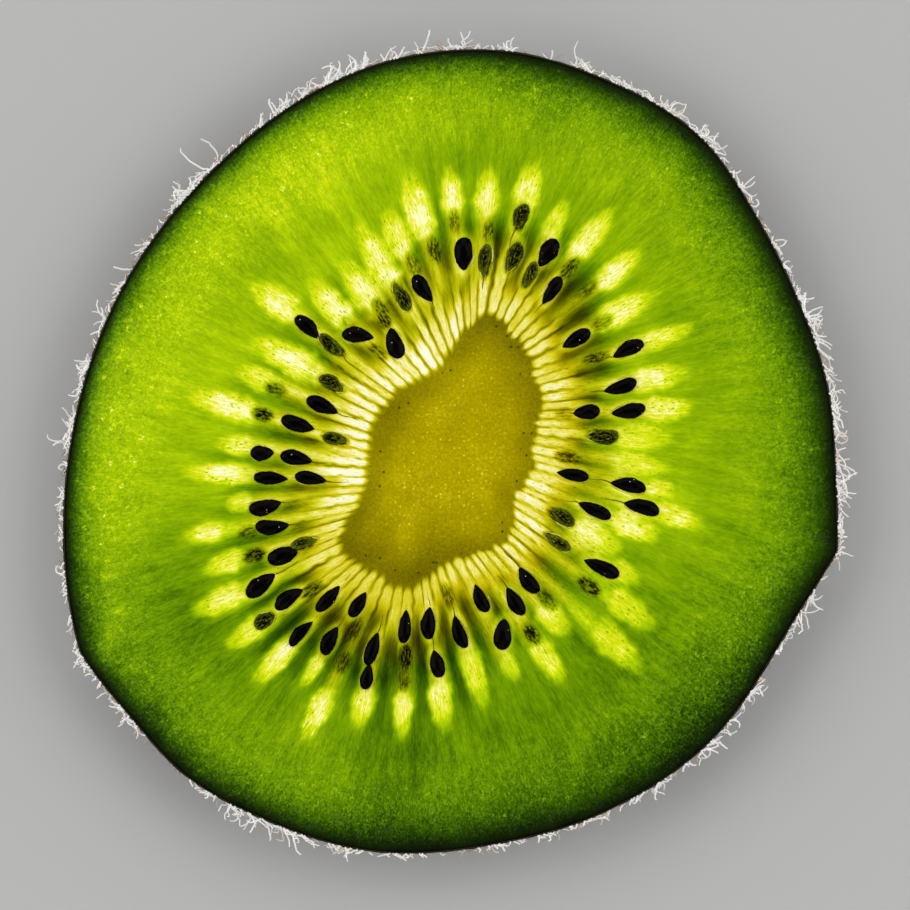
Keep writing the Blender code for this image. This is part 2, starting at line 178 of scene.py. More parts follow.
# The pale stripes round the core: how white they are, how far they run and where they start, by heading
STRIPE_WHITE = (
    (0, 0.68), (20, 0.72), (45, 0.52), (66, 0.64), (95, 0.7), (122, 1.05), (150, 0.75), (180, 0.95),
    (200, 0.55), (225, 0.35), (245, 0.38), (262, 0.25), (285, 0.42), (300, 0.66), (320, 0.68), (335, 0.8),
)
STRIPE_REACH = (
    (0, 2.4), (30, 2.1), (60, 2.4), (90, 3.2), (125, 3.9), (160, 3.7), (190, 3.8), (215, 3.4),
    (240, 3.1), (265, 3.0), (285, 2.6), (300, 2.1), (315, 2.5), (330, 3.2), (345, 2.9),
)
STRIPE_START = (
    (0, -0.48), (30, -0.5), (60, -0.66), (90, -0.16), (120, -0.2), (150, -0.03), (180, -0.08), (210, 0.0),
    (240, 0.02), (270, 0.02), (300, -0.4), (330, -0.5),
)
STRIPES = 84
YELLOW_PULP = 0.76  # how bright the flesh is near the core and round the glowing ends
CORE_EDGE, CORE_MIDDLE = 0.44, 0.72  # how bright the core is at its edge and in its middle

# How much brighter or darker than the rest the core is, by heading
CORE_SHADE = (
    (0, -0.02), (30, -0.09), (60, -0.2), (80, -0.16), (100, -0.02), (122, 0.11), (150, -0.06), (180, 0.08),
    (210, -0.17), (240, -0.11), (270, -0.18), (300, -0.09), (330, 0.02),
)

# Light through the flesh, from black at the rim to the white of the pulp, as (share, sRGB colour)
GREEN_LIGHT = (
    (0.0, (2, 7, 0)), (0.12, (19, 36, 0)), (0.25, (43, 75, 1)), (0.4, (80, 119, 2)), (0.52, (111, 151, 3)),
    (0.64, (139, 174, 4)), (0.75, (167, 199, 6)), (0.84, (199, 219, 12)), (0.9, (227, 232, 34)),
    (0.95, (244, 242, 118)), (1.0, (254, 254, 208)),
)
YELLOW_LIGHT = (
    (0.0, (14, 10, 0)), (0.2, (56, 48, 0)), (0.4, (110, 102, 0)), (0.55, (156, 147, 0)),
    (0.68, (190, 180, 6)), (0.8, (216, 205, 32)), (0.9, (240, 232, 122)), (1.0, (254, 251, 228)),
)
CORE_LIGHT = (
    (0.0, (80, 72, 0)), (0.3, (116, 107, 0)), (0.55, (146, 134, 0)), (0.75, (172, 157, 0)),
    (0.9, (198, 182, 12)), (1.0, (226, 212, 80)),
)

SKIN_COLOURS = ((0.25, (38, 28, 13)), (0.45, (66, 49, 24)), (0.6, (92, 70, 37)), (0.8, (122, 97, 57)))
GEL_COLOURS = ((0.3, (150, 150, 14)), (0.5, (200, 198, 56)), (0.7, (236, 233, 140)))
THREAD_COLOURS = ((0.35, (70, 62, 0)), (0.65, (128, 116, 4)))
# painted light: the hairs' near-white stands for light shining through them from behind
BACKLIT_HAIR_COLOURS = ((0.3, (250, 247, 240)), (0.5, (254, 253, 250)), (0.75, (255, 255, 254)))
FUZZ_COLOURS = ((0.3, (112, 84, 50)), (0.5, (140, 110, 70)), (0.75, (168, 138, 94)))
FLOOR_COLOURS = ((0.3, (178, 178, 177)), (0.7, (183, 183, 182)))
# the first and last colours here are painted glints; the middle one is the core's own dots
PAINTED_FLESH_GLINT, CORE_DOT, PAINTED_SEED_GLINT = (214, 255, 150), (48, 38, 2), (196, 194, 168)
SEED_BLACK, SEED_BROWN, SEED_BLOTCH, SEED_VEIL = (1, 1, 1), (6, 3, 2), (24, 13, 4), (112, 122, 14)
# the second colour here is painted shade along the skin's top edge at the cut
SKIN_FRECKLE, SHADED_SKIN_TOP = (44, 30, 15), (20, 15, 6)
AMBER_HAIR, PALE_FUZZ = (214, 172, 116), (226, 210, 182)

# How finely the meshes are divided
AROUND, SKIN_AROUND = 600, 720
SEED_RINGS, SEED_AROUND = 16, 24
GEL_AROUND, GEL_SIDES = 44, 5
THREAD_STEPS, THREAD_SIDES = 10, 5
HAIR_STEPS, FUZZ_STEPS, HAIR_SIDES = 13, 5, 3
SHARP_ANGLE = 55.0
ROLL_SHARES = (0.3, 0.6, 0.82, 0.95)
FLANK_SHARES = (0.97, 0.75, 0.5, 0.28, 0.1)
SKIN_HEIGHTS = (4.78, 4.7, 4.5, 4.0, 3.2, 2.4, 1.6, 0.9, 0.35, 0.08)

# Thin layers and fine relief, in mm
SKIN_THICKNESS = 0.12
FLESH_INSET = 0.07  # between the outside of the skin and the flesh
STRIPE_RELIEF, GAP_RELIEF, FLESH_RELIEF = 0.035, 0.03, 0.02
GEL_GAP, GEL_THICKNESS, GEL_RISE = 0.045, 0.038, 0.035
THREAD_RISE, THREAD_RADII = 0.02, (0.04, 0.012)

rng = np.random.default_rng(20)


def linear(colour):
    """An sRGB colour of three 0 to 255 numbers as Blender's linear colour."""
    shares = np.array(colour, float) / 255
    low, high = shares / 12.92, ((shares + 0.055) / 1.055) ** 2.4
    return (*np.where(shares <= 0.04045, low, high).tolist(), 1.0)


def smooth(low, high, value):
    """0 below low and 1 above high, with an even rise between, or the other way round."""
    t = np.clip((np.asarray(value, float) - low) / (high - low), 0, 1)
    return t * t * (3 - 2 * t)


def bell(value, width):
    """1 at a value of 0, falling off evenly to both sides."""
    return np.exp(-((value / width) ** 2))


def towards(light, goal, share):
    return light + (goal - light) * share


def direction(degrees):
    """The cosine and the sine of a heading."""
    return np.cos(np.radians(degrees)), np.sin(np.radians(degrees))


def turned(x, y, degrees):
    """An offset turned to the left. Turned back by a heading, it runs along that heading and to its left."""
    cosine, sine = direction(degrees)
    return x * cosine - y * sine, x * sine + y * cosine


def closed_curve(stations, corners=()):
    """The value at any heading of a closed curve, smooth through its stations except at its corners."""
    heading, value = np.array(stations, float).T
    step = np.diff(heading, append=heading[0] + 360)
    slope = np.diff(value, append=value[0]) / step
    step_before, slope_before = np.roll(step, 1), np.roll(slope, 1)
    leaving = (slope_before * step + slope * step_before) / (step + step_before)
    arriving = np.roll(leaving, -1)
    for corner in corners:
        at = int(np.argmin(abs(heading - corner)))
        leaving[at], arriving[at - 1] = slope[at], slope[at - 1]

    def at_heading(degrees):
        around = (np.asarray(degrees, float) - heading[0]) % 360 + heading[0]
        i = np.searchsorted(heading, around, side="right") - 1
        t = (around - heading[i]) / step[i]
        rise = 3 * t**2 - 2 * t**3
        bends = (t - 2 * t**2 + t**3) * leaving[i] + (t**3 - t**2) * arriving[i]
        return value[i] + rise * slope[i] * step[i] + step[i] * bends

    return at_heading


skin_reach = closed_curve(SKIN, SKIN_CORNERS)
core_reach = closed_curve(CORE)
flesh_light = closed_curve(FLESH_LIGHT)
rim_width = closed_curve(RIM_WIDTH)
inner_light = closed_curve(INNER_LIGHT)
glow_width = closed_curve(GLOW_WIDTH)
wall_end = closed_curve(WALL_END)
stripe_white = closed_curve(STRIPE_WHITE)
stripe_reach = closed_curve(STRIPE_REACH)
stripe_start = closed_curve(STRIPE_START)
core_shade = closed_curve(CORE_SHADE)


def from_spine(degrees, distance):
    """A place in the fan as x and y from the spine's middle, in mm."""
    along = SPINE_HALF_LENGTH * direction(degrees - SPINE_HEADING)[0]
    spine_x, spine_y = turned(along, 0, SPINE_HEADING)
    out_x, out_y = turned(distance, 0, degrees)
    return spine_x + out_x, spine_y + out_y


def outline_middle():
    x, y = from_spine(OUTLINE_HEADINGS, skin_reach(OUTLINE_HEADINGS))
    return (x.min() + x.max()) / 2, (y.min() + y.max()) / 2


OUTLINE_HEADINGS = np.arange(0, 360, 0.25)
MIDDLE = outline_middle()


def place(degrees, distance):
    """A place in the fan as x and y in the slice's frame, in mm."""
    x, y = from_spine(degrees, distance)
    return x - MIDDLE[0], y - MIDDLE[1]


def fan_of(x, y):
    """The heading and distance in the fan of points clear of the core, found in a few rounds."""
    x, y = x + MIDDLE[0], y + MIDDLE[1]
    degrees = np.degrees(np.arctan2(y, x))
    for _ in range(14):
        spine_x, spine_y = turned(SPINE_HALF_LENGTH * direction(degrees - SPINE_HEADING)[0], 0, SPINE_HEADING)
        out_x, out_y = x - spine_x, y - spine_y
        degrees = np.degrees(np.arctan2(out_y, out_x))
    return degrees % 360, np.hypot(out_x, out_y)


def fruit_girth(from_middle):
    return np.sqrt(1 - (from_middle / FRUIT_HALF_LENGTH) ** 2)


def lowered(x, y, z):
    """Moves points of the upper cut's outline in, as the fruit narrows and the cut slants."""
    down = WIDEST_HEIGHT - z
    narrowing = fruit_girth(CUT_FROM_MIDDLE + down) / fruit_girth(CUT_FROM_MIDDLE)
    slant_x, slant_y = turned(SLANT * down / WIDEST_HEIGHT, 0, SLANT_HEADING)
    return x * narrowing + slant_x, y * narrowing + slant_y


def swell(degrees, distance):
    """How far the cut swells up and down from flat."""
    x, y = place(degrees, distance)
    waves = (np.sin(math.tau * turned(x, y, -heading)[0] / length) for length, heading in SWELL_WAVES)
    return SWELL * sum(waves) / len(SWELL_WAVES)


def turned_by(degrees, heading):
    """The signed angle from a heading, in radians."""
    return np.radians((degrees - heading + 180) % 360 - 180)


def nowhere(degrees, distance):
    """A mask of zeros for these places."""
    return np.zeros(np.broadcast(degrees, distance).shape)


def locule_hollow(degrees, distance):
    sunk = nowhere(degrees, distance)
    for heading, inner, outer, width, _ in LOCULES:
        aside = turned_by(degrees, heading) * distance / (width / 2)
        along = (distance - (inner + outer) / 2) / ((outer - inner) / 2)
        sunk = np.maximum(sunk, np.exp(-(aside**2) - along**4))
    return LOCULE_DEPTH * sunk


def flesh_height(degrees, distance):
    rim = RIM_DROP * bell(skin_reach(degrees) - distance, RIM_REACH)
    return THICKNESS + swell(degrees, distance) - locule_hollow(degrees, distance) - rim


def core_height(degrees, distance):
    share = distance / core_reach(degrees)
    return THICKNESS + swell(degrees, distance) + CORE_CROWN * (1 - share**2)


def ripple(x, y, length, seed, waves=9):
    """An uneven field of about -1 to 1 whose patches are about half of length across."""
    own = np.random.default_rng(seed)
    total = 0.0
    for _ in range(waves):
        heading, phase = own.uniform(0, math.tau, 2)
        wave = length * own.uniform(0.7, 1.4)
        total = total + np.sin(math.tau * (x * math.cos(heading) + y * math.sin(heading)) / wave + phase)
    return total / math.sqrt(waves)


# How light falls through the flesh


def stripe_index():
    """The stripes' headings, unevenly spaced round the core, and their numbers."""
    headings = np.append(OUTLINE_HEADINGS, 360)
    x, y = place(headings, core_reach(headings))
    run = np.concatenate([[0], np.cumsum(np.hypot(np.diff(x), np.diff(y)))])
    marks = (np.arange(STRIPES) + 0.5 + rng.uniform(-0.28, 0.28, STRIPES)) * run[-1] / STRIPES
    at = np.interp(marks, run, headings)
    return [at[-1] - 360, *at, at[0] + 360], np.arange(-1, STRIPES + 1)


STRIPE_HEADINGS, STRIPE_NUMBERS = stripe_index()
STRIPE_OWN = rng.uniform(0, 1, (STRIPES, 4))


def stripes(degrees, from_core):
    """How much each place lies in a pale stripe, its whiteness, how much in a gap, and if off the core."""
    index = np.interp(np.asarray(degrees, float) % 360, STRIPE_HEADINGS, STRIPE_NUMBERS)
    nearest = np.round(index).astype(int)
    x, y = place(degrees, from_core + core_reach(degrees))
    off = abs(index - nearest + 0.05 * ripple(x, y, 0.9, 31))
    own = STRIPE_OWN[nearest % STRIPES]
    half = 0.31 + 0.14 * own[..., 0]
    reach = stripe_reach(degrees) * (0.65 + 0.7 * own[..., 1])
    start = stripe_start(degrees) + 0.4 * own[..., 3] + 0.2 * (off / half) ** 2
    begun = smooth(start - 0.2, start + 0.36, from_core)
    stripe = smooth(half + 0.09, half - 0.09, off) * begun * smooth(reach * 1.3, reach * 0.45, from_core)
    white = stripe_white(degrees) * (0.58 + 0.55 * own[..., 2])
    gap = (0.35 + 0.65 * own[..., 3]) * smooth(0.32, 0.5, off)
    gap = gap * smooth(-0.1, 0.5, from_core) * smooth(reach * 1.7, reach * 0.6, from_core)
    return stripe, white, gap, begun


def core_light(degrees, from_core, light, walls):
    """The light near the core: yellow flesh with pale stripes, starting a little in or out of its edge."""
    stripe, white, gap, begun = stripes(degrees, from_core)
    near = smooth(3.3, 1.0, from_core)
    light = towards(light, YELLOW_PULP, 0.72 * near * (1 - 0.55 * walls)) - 0.22 * gap
    light = towards(light, YELLOW_PULP + 0.24 * white, stripe)
    return towards(light, 0.475 + 0.4 * core_shade(degrees), 1 - begun), stripe, near, begun


def hearts(degrees, distance):
    """How much each place lies in glowing pulp, near its middle, in the glow round it, and inward of it."""
    x, y = place(degrees, distance)
    uneven = 0.06 * ripple(x, y, 1.3, 5) + 0.03 * ripple(x, y, 0.6, 6)
    body, middle, halo, lens = (nowhere(degrees, distance) for _ in range(4))
    for heading, inner, outer, width, bright in LOCULES:
        off = turned_by(degrees, heading) * distance
        aside = off / (width / 2 * glow_width(heading))
        along = (distance - (inner + outer) / 2) / ((outer - inner) / 2)
        aside_pinched = aside * (1.06 + 0.28 * np.clip(along, -0.6, 1))
        length = abs(along) * np.where(along > 0, 0.9, 0.86)
        away = (abs(aside_pinched) ** 2.5 + length**2.5) ** 0.4 + uneven
        inside = (0.62 + 0.38 * bright) * smooth(1.16, 0.74, away) * (1 - 0.27 * smooth(0.25, 1.0, along))
        body = np.maximum(body, inside)
        whitest = np.hypot(aside_pinched, (along + 0.3) * 0.85) + 2.2 * uneven
        middle = np.maximum(middle, bright * smooth(0.95, 0.2, whitest))
        halo = np.maximum(halo, bright * bell(np.maximum(away - 0.9, 0), 0.36))
        inward = smooth(6.0, 7.5, distance) * smooth(inner + 1.2, inner - 0.6, distance)
        lens = np.maximum(lens, bell(off, 0.17 + 0.03 * distance) * inward)
    return body, middle, halo, lens


def septa(degrees, distance):
    """How much each place lies in the dark wall between two locules."""
    order = sorted(row[0] for row in LOCULES)
    inside = nowhere(degrees, distance)
    for one, other in zip(order, [*order[1:], order[0] + 360]):
        own = np.random.default_rng(int(one * 10) + 3)
        heading = one + (other - one) * own.uniform(0.42, 0.58)
        start, end = own.uniform(5.4, 6.8), wall_end(heading) + own.uniform(-0.9, 0.9)
        reach = smooth(start, start + 2.0, distance) * smooth(end, end - 3.4, distance)
        width = 0.17 + 0.026 * distance * own.uniform(0.7, 1.25)
        wall = reach * bell(turned_by(degrees, heading) * distance, width)
        inside = np.maximum(inside, own.uniform(0.75, 1.0) * wall)
    return inside


def seed_offsets(degrees, distance, row):
    """Places in a seed's own half lengths and half widths, from its middle."""
    heading, out, turn, length, width = row
    x, y = place(degrees, distance)
    centre_x, centre_y = place(heading, out)
    along, aside = turned(x - centre_x, y - centre_y, -heading - turn)
    return along / (length / 2), aside / (width / 2)


def seed_glow(degrees, distance):
    """The painted glow of light through the pale gel close round each seed that lies in the cut."""
    glow = nowhere(degrees, distance)
    for row in SEEDS + SUNK_SEEDS:
        outside = (np.hypot(*seed_offsets(degrees, distance, row)) - 1) * row[4] / 2
        glow = np.maximum(glow, bell(outside, 0.2) * (outside > -0.3))
    return glow


def deep_seeds(degrees, distance):
    """The shadows of the seeds that lie in the flesh."""
    dark = nowhere(degrees, distance)
    sunk = tuple((heading, out, length, width, 1.0) for heading, out, _, length, width in SUNK_SEEDS)
    for heading, out, length, width, darkness in DEEP_SEEDS + sunk:
        away = np.hypot(*seed_offsets(degrees, distance, (heading, out, 0, length, width)))
        dark = np.maximum(dark, darkness * smooth(1.3, 0.55, away))
    return dark


def flesh_looks(degrees, distance):
    """The named masks of the flesh's material at places in the fan."""
    x, y = place(degrees, distance)
    from_skin, from_core = skin_reach(degrees) - distance, distance - core_reach(degrees)
    inside, rim = np.maximum(from_skin, 0), rim_width(degrees)
    low = smooth(212, 235, degrees) * smooth(292, 268, degrees)  # the lower side, where the flesh is darker

    light = flesh_light(degrees) + 0.05 * np.cos(np.radians(degrees - 10)) * smooth(3, 7, from_skin)
    light = light + 0.025 * ripple(x, y, 9.0, 1) + 0.015 * ripple(x, y, 3.5, 2)
    light = light * (1 - np.exp(-((inside / rim) ** RIM_STEEPNESS)))
    light = light - 0.025 * bell(from_skin - 7.6, 1.2) * (1 - low)
    for patch_x, patch_y, turn, length, width, paler in PATCHES:
        along, aside = turned(x - patch_x, y - patch_y, -turn)
        light = light + paler * bell(along, length / 2) * bell(aside, width / 2)

    body, middle, halo, lens = hearts(degrees, distance)
    walls = septa(degrees, distance)
    between_hearts = 0.33 + 0.21 * inner_light(degrees) + 0.04 * ripple(x, y, 2.2, 3)
    light = towards(light, between_hearts, smooth(12.0, 9.0, distance))
    light = towards(light, YELLOW_PULP, 0.32 * halo)
    light = towards(light, 0.86, 0.95 * inner_light(degrees) * lens)
    light = towards(light, 0.92, 0.8 * seed_glow(degrees, distance))
    light = towards(light, 0.885 + 0.085 * middle, body)
    light = light - (0.28 - 0.08 * low) * walls * (1 - 0.8 * body)
    shade = low * smooth(6.8, 8.2, distance) * smooth(11.4, 9.8, distance)
    light = light - 0.13 * shade * (1 + 0.4 * ripple(x, y, 1.6, 4)) * (1 - body)
    light, stripe, near, _ = core_light(degrees, from_core, light, walls)

    deep = deep_seeds(degrees, distance)
    darkest = (0.33 - 0.09 * low) * (1 - 0.5 * smooth(0.6, 1.0, deep))
    light = towards(light, darkest, np.minimum(deep * 1.25, 1))
    yellow = np.maximum(smooth(10.8, 8.0, distance) * 0.75, smooth(4.2, 2.2, from_core))
    yellow = np.maximum(yellow, 0.65 * lens * smooth(13.5, 10.5, distance))

    calm = 1 - 0.85 * bell(inside, 0.45 * rim**2)
    pulp = np.maximum(np.maximum(body, 0.7 * stripe), np.maximum(0.75 * lens, 0.5 * near))
    coarser = smooth(3.5, 5.5, from_skin) * smooth(9.0, 7.0, from_skin)
    coarser = coarser * (0.4 + 0.6 * smooth(0.75, 0.55, flesh_light(degrees)))
    return {
        "light": np.clip(light, 0, 1),
        "yellow": np.maximum(yellow, 0.7 * deep),
        "pulp": pulp,
        "deep": deep,
        "broken": (0.27 + 0.14 * pulp) * calm * (1 + 0.4 * coarser),
        "grain": smooth(9.0, 2.0, from_skin) * smooth(-0.1, 0.7, from_skin) * calm,
        "rim": smooth(1.0, 0.4, from_skin),
        "fibrous": smooth(0.6, 3.0, from_core) * smooth(1.5, 6.0, from_skin) * (1 - 0.6 * body),
    }


# Meshes


def add_object(name, data):
    made = bpy.data.objects.new(name, data)
    bpy.context.scene.collection.objects.link(made)
    return made


def mesh_object(name, points, faces):
    """An object from points in mm and faces, riding on the part."""
    mesh = bpy.data.meshes.new(name)
    mesh.from_pydata((np.asarray(points, float) * MM).tolist(), [], [tuple(f) for f in faces])
    mesh.validate()
    mesh.shade_smooth()
    mesh.set_sharp_from_angle(angle=math.radians(SHARP_ANGLE))
    made = add_object(name, mesh)
    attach(made, "root")
    return made


def add_masks(item, **masks):
    """Named values on the points of a mesh: one number for each point, or three."""
    for name, values in masks.items():
        values = np.asarray(values, np.float32)
        kind, field = ("FLOAT", "value") if values.ndim == 1 else ("FLOAT_VECTOR", "vector")
        attribute = item.data.attributes.new(name, kind, "POINT")
        attribute.data.foreach_set(field, values.ravel())


def stacked(x, y, z):
    """Points from their coordinates, any of which may be one number for all."""
    return np.stack(np.broadcast_arrays(x, y, z), axis=1)


def ring_faces(rings, around, closed=False, first=0, flip=False):
    """Quads between rings of points. The rings run anticlockwise seen from above, unless flipped."""
    i = np.arange(around)
    k = np.arange(rings if closed else rings - 1)[:, None]
    one, other = first + k * around, first + (k + 1) % rings * around
    j = (i + 1) % around
    quads = np.stack([one + i, one + j, other + j, other + i], axis=-1).reshape(-1, 4)
    return (quads if flip else quads[:, ::-1]).tolist()


def tip_faces(tip, ring, around, flip=False):
    """Triangles between a tip and the ring of points that starts at a number."""
    i = ring + np.arange(around)
    j = np.roll(i, -1)
    one, other = (j, i) if flip else (i, j)
    return [(tip, a, b) for a, b in zip(one.tolist(), other.tolist())]


def fan_coordinates(degrees, distance):
    """Coordinates in which fibres run along one axis, without a seam."""
    cosine, sine = direction(degrees)
    return np.stack(np.broadcast_arrays(14 * cosine, 14 * sine, distance), axis=-1)


HEADINGS = np.arange(AROUND) * 360 / AROUND


def make_flesh():
    """The flesh in one closed mesh: the upper cut, its roll, the flank, the lower cut and the hole."""
    skin, hole = skin_reach(HEADINGS), core_reach(HEADINGS)
    edge, outer = skin - SKIN_EDGE, skin - FLESH_INSET
    points, distances, below = [], [], []

    def add_ring(distance, x, y, z, under=0.0):
        points.append(stacked(x, y, z))
        distances.append(distance)
        below.append(np.full(AROUND, under))

    for share in (*np.linspace(0, 0.68, 76), *np.linspace(0.68, 1, 25)[1:]):
        distance = hole + share * (edge - hole)
        x, y = place(HEADINGS, distance)
        stripe, _, gap, _ = stripes(HEADINGS, distance - hole)
        relief = STRIPE_RELIEF * stripe - GAP_RELIEF * gap + FLESH_RELIEF * ripple(x, y, 1.4, 11)
        add_ring(distance, x, y, flesh_height(HEADINGS, distance) + relief * smooth(0, 0.15, distance - hole))
    top = points[-1][:, 2]
    for share in ROLL_SHARES:
        up, out = direction(90 * share)
        distance = edge + (outer - edge) * out
        height = towards(WIDEST_HEIGHT - 0.05, top, up)
        add_ring(distance, *place(HEADINGS, distance), height)
    for share in FLANK_SHARES:
        z = share * WIDEST_HEIGHT
        add_ring(outer, *lowered(*place(HEADINGS, outer), z), z)
    for share in (0.0, *np.linspace(0.12, 0.5, 10), *np.linspace(0.5, 1.0, 30)[1:]):
        distance = edge + share * (hole - edge)
        x, y = place(HEADINGS, distance)
        low_x, low_y = lowered(x, y, 0.0)
        part = smooth(1.0, 0.85, share)
        add_ring(distance, towards(x, low_x, part), towards(y, low_y, part), 0.0, 1.0)
    for share in (0.35, 0.75):
        add_ring(hole, *place(HEADINGS, hole), share * THICKNESS)

    rings = len(points)
    degrees, distance, under = np.tile(HEADINGS, rings), np.concatenate(distances), np.concatenate(below)
    flesh = mesh_object("kiwi_flesh", np.concatenate(points), ring_faces(rings, AROUND, closed=True))
    looks = flesh_looks(degrees, distance)
    spots = np.zeros(len(degrees))
    for heading, out, *shape in SEEDS:
        away = np.hypot(*seed_offsets(degrees, distance, (heading + 2.5, out + 0.6, *shape)))
        spots = np.maximum(spots, smooth(1.1, 0.8, away))
    looks["light"] = looks["light"] * (1 - 0.93 * spots * under)
    looks["pulp"] = looks["pulp"] * (1 - spots * under)
    add_masks(flesh, fibre=fan_coordinates(degrees, distance), **looks)
    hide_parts("flesh")
    return flesh


def make_core():
    """The core in one closed mesh, crowned above and flat underneath."""
    core = core_reach(HEADINGS)
    above = (*np.linspace(0.06, 0.8, 18), *np.linspace(0.8, 1, 13)[1:])
    side = ((1.0, THICKNESS / 2), (1.0, 0.0))
    below = (0.97, 0.93, 0.88, 0.8, 0.5, 0.06)
    points, shares = [], []
    for share, height in (*((share, None) for share in above), *side, *((share, 0.0) for share in below)):
        distance = share * core
        x, y = place(HEADINGS, distance)
        if height is None:
            relief = 0.012 * ripple(x, y, 0.9, 12) + 0.015 * ripple(x, y, 2.6, 13)
            height = core_height(HEADINGS, distance) + relief * smooth(1.0, 0.9, share)
        points.append(stacked(x, y, height))
        shares.append(np.full(AROUND, share))
    rings = len(points)
    x, y = place(SPINE_HEADING + 90, 0.0)
    points.append([(x, y, core_height(0.0, 0.0)), (x, y, 0.0)])
    tip = rings * AROUND
    faces = ring_faces(rings, AROUND) + tip_faces(tip, 0, AROUND)
    faces += tip_faces(tip + 1, tip - AROUND, AROUND, flip=True)
    made = mesh_object("kiwi_core", np.concatenate(points), faces)
    share = np.concatenate([*shares, [0.0, 0.0]])
    reach = np.append(np.tile(core, rings), [core.mean()] * 2)
    degrees = np.append(np.tile(HEADINGS, rings), [0.0, 0.0])
    inset = (1 - share) * reach
    striped, _, _, begun = core_light(degrees, -inset, 0.62, 0.0)
    shade = core_shade(degrees) * smooth(0.05, 0.6, share)
    fibre = fan_coordinates(degrees, share * reach)
    add_masks(made, inset=inset, shade=shade, striped=striped, begun=begun, fibre=fibre)
    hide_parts("core")
    return made


def girth(share):
    """A seed's width along its length as a share of its full width, from its point to its round end."""
    return share**0.8 * (1 - share) ** 0.5 / 0.4206


def seed_points(row, rise, flatness):
    """A seed's points, ring by ring from its point outwards and then its two tips, with their own offsets."""
    heading, distance, turn, length, width = row
    length, width = length + SEED_MORE, width + SEED_MORE
    bend, lump = rng.uniform(-0.06, 0.06), rng.uniform(0, math.tau)
    share = ((1 - np.cos(np.linspace(0, math.pi, SEED_RINGS + 2)[1:-1])) / 2)[:, None]
    angle = math.tau * np.arange(SEED_AROUND) / SEED_AROUND
    pitted = 0.028 * rng.normal(size=(SEED_RINGS, SEED_AROUND))
    wide = width / 2 * girth(share) * (1 + pitted + 0.035 * np.sin(2 * angle + 11 * share + lump))
    aside = bend * length * np.sin(math.pi * share) + np.cos(angle) * wide
    out = (share - 0.5) * length + 0 * angle
    aside, up, out = (np.append(values, [0, 0]) for values in (aside, np.sin(angle) * wide * flatness, out))
    out[-2:] = -length / 2, length / 2
    x, y = place(heading, distance)
    off_x, off_y = turned(out, aside, heading + turn)
    z = flesh_height(heading, distance) + rise - width * flatness / 2
    return stacked(x + off_x, y + off_y, z + up), stacked(aside, up, out)


def make_seeds():
    """Every seed in the cut, pointed inwards and a little bent, as one mesh of closed bodies."""
    seeds = [(row, SEED_RISE, SEED_FLATNESS) for row in SEEDS]
    seeds += [(row, SUNK_SEED_RISE, SUNK_SEED_FLATNESS) for row in SUNK_SEEDS]
    points, faces, sunk, tone, own = [], [], [], [], []
    count = SEED_RINGS * SEED_AROUND + 2
    for number, (row, rise, flatness) in enumerate(seeds):
        placed, offsets = seed_points(row, rise, flatness)
        points.append(placed)
        own.append(offsets + (5.0 * number, 0.0, 0.0))
        first, tip = number * count, (number + 1) * count - 2
        faces += ring_faces(SEED_RINGS, SEED_AROUND, first=first, flip=True)
        faces += tip_faces(tip, first, SEED_AROUND, flip=True)
        faces += tip_faces(tip + 1, tip - SEED_AROUND, SEED_AROUND)
        sunk.append(np.full(count, float(rise == SUNK_SEED_RISE)))
        tone.append(np.full(count, rng.uniform(0, 1)))
    made = mesh_object("kiwi_seeds", np.concatenate(points), faces)
    sunk, tone, own = (np.concatenate(values) for values in (sunk, tone, own))
    add_masks(made, sunk=sunk, tone=tone, own=own, buried=smooth(0.19, 0.1, own[:, 1]))
    return made


def tubes(name, paths, radii, sides=HAIR_SIDES):
    """Thin closed tubes along paths (tube, point, xyz) in mm, as one mesh."""
    count, steps = paths.shape[:2]
    ahead = np.gradient(paths, axis=1)
    ahead /= np.maximum(np.linalg.norm(ahead, axis=2, keepdims=True), 1e-9)
    side = np.cross(ahead, (0.05, 0.03, 1.0))
    side /= np.maximum(np.linalg.norm(side, axis=2, keepdims=True), 1e-9)
    up = np.cross(side, ahead)
    angles = math.tau * np.arange(sides) / sides + math.pi / 2
    corners = [paths + radii[..., None] * (side * math.cos(angle) + up * math.sin(angle)) for angle in angles]
    faces = []
    for first in range(0, count * steps * sides, steps * sides):
        faces += ring_faces(steps, sides, first=first)
        start, end = range(first, first + sides), range(first + (steps - 1) * sides, first + steps * sides)
        faces += [tuple(start), tuple(end)[::-1]]
    return mesh_object(name, np.stack(corners, axis=2).reshape(-1, 3), faces)


# Where the skin's hairs show, by plain heading about the slice's middle: (from, to, hairs, length)
TUFTS = (
    (89, 91, 4, 1.5), (78, 82, 5, 0.8), (71, 77, 9, 1.0), (57, 70, 34, 0.8), (50, 60, 26, 1.2),
    (44, 50, 10, 0.8), (39, 43, 9, 0.9), (32, 37, 9, 0.8), (24, 31, 22, 0.6), (15, 24.5, 30, 1.2),
    (4, 15, 34, 1.1), (-5, 3, 22, 1.3), (-15, -6, 26, 0.8), (-22, -16, 6, 0.9), (-26, -23, 5, 1.0),
    (-33, -28, 7, 0.6), (-42, -36, 15, 0.8), (-50, -43, 18, 0.8), (-61, -52, 16, 0.8),
    (-71, -66, 7, 0.9), (-90, -75, 12, 0.6), (-99, -95, 9, 0.7), (-106, -101, 12, 0.7),
    (-124, -110, 36, 1.0), (-128, -125, 4, 0.5), (-142, -138, 6, 0.8), (-151, -141, 26, 0.7),
    (-165, -152, 10, 0.7), (-175, -166, 10, 0.8), (176, 184, 16, 1.1), (165, 175, 24, 0.8),
    (158, 162, 10, 1.0), (150, 154, 4, 0.8), (145, 148, 5, 0.9), (132, 141, 28, 1.2),
    (128, 131, 6, 1.6), (121, 123, 3, 0.9), (115, 119, 12, 0.9), (104, 113, 30, 1.1), (94, 103, 12, 0.9),
)
BARE = (223, 231)  # the corner without hairs
HAIR_RADII, FUZZ_RADII = (0.055, 0.085), (0.028, 0.045)
FUZZ_COUNT = 3400
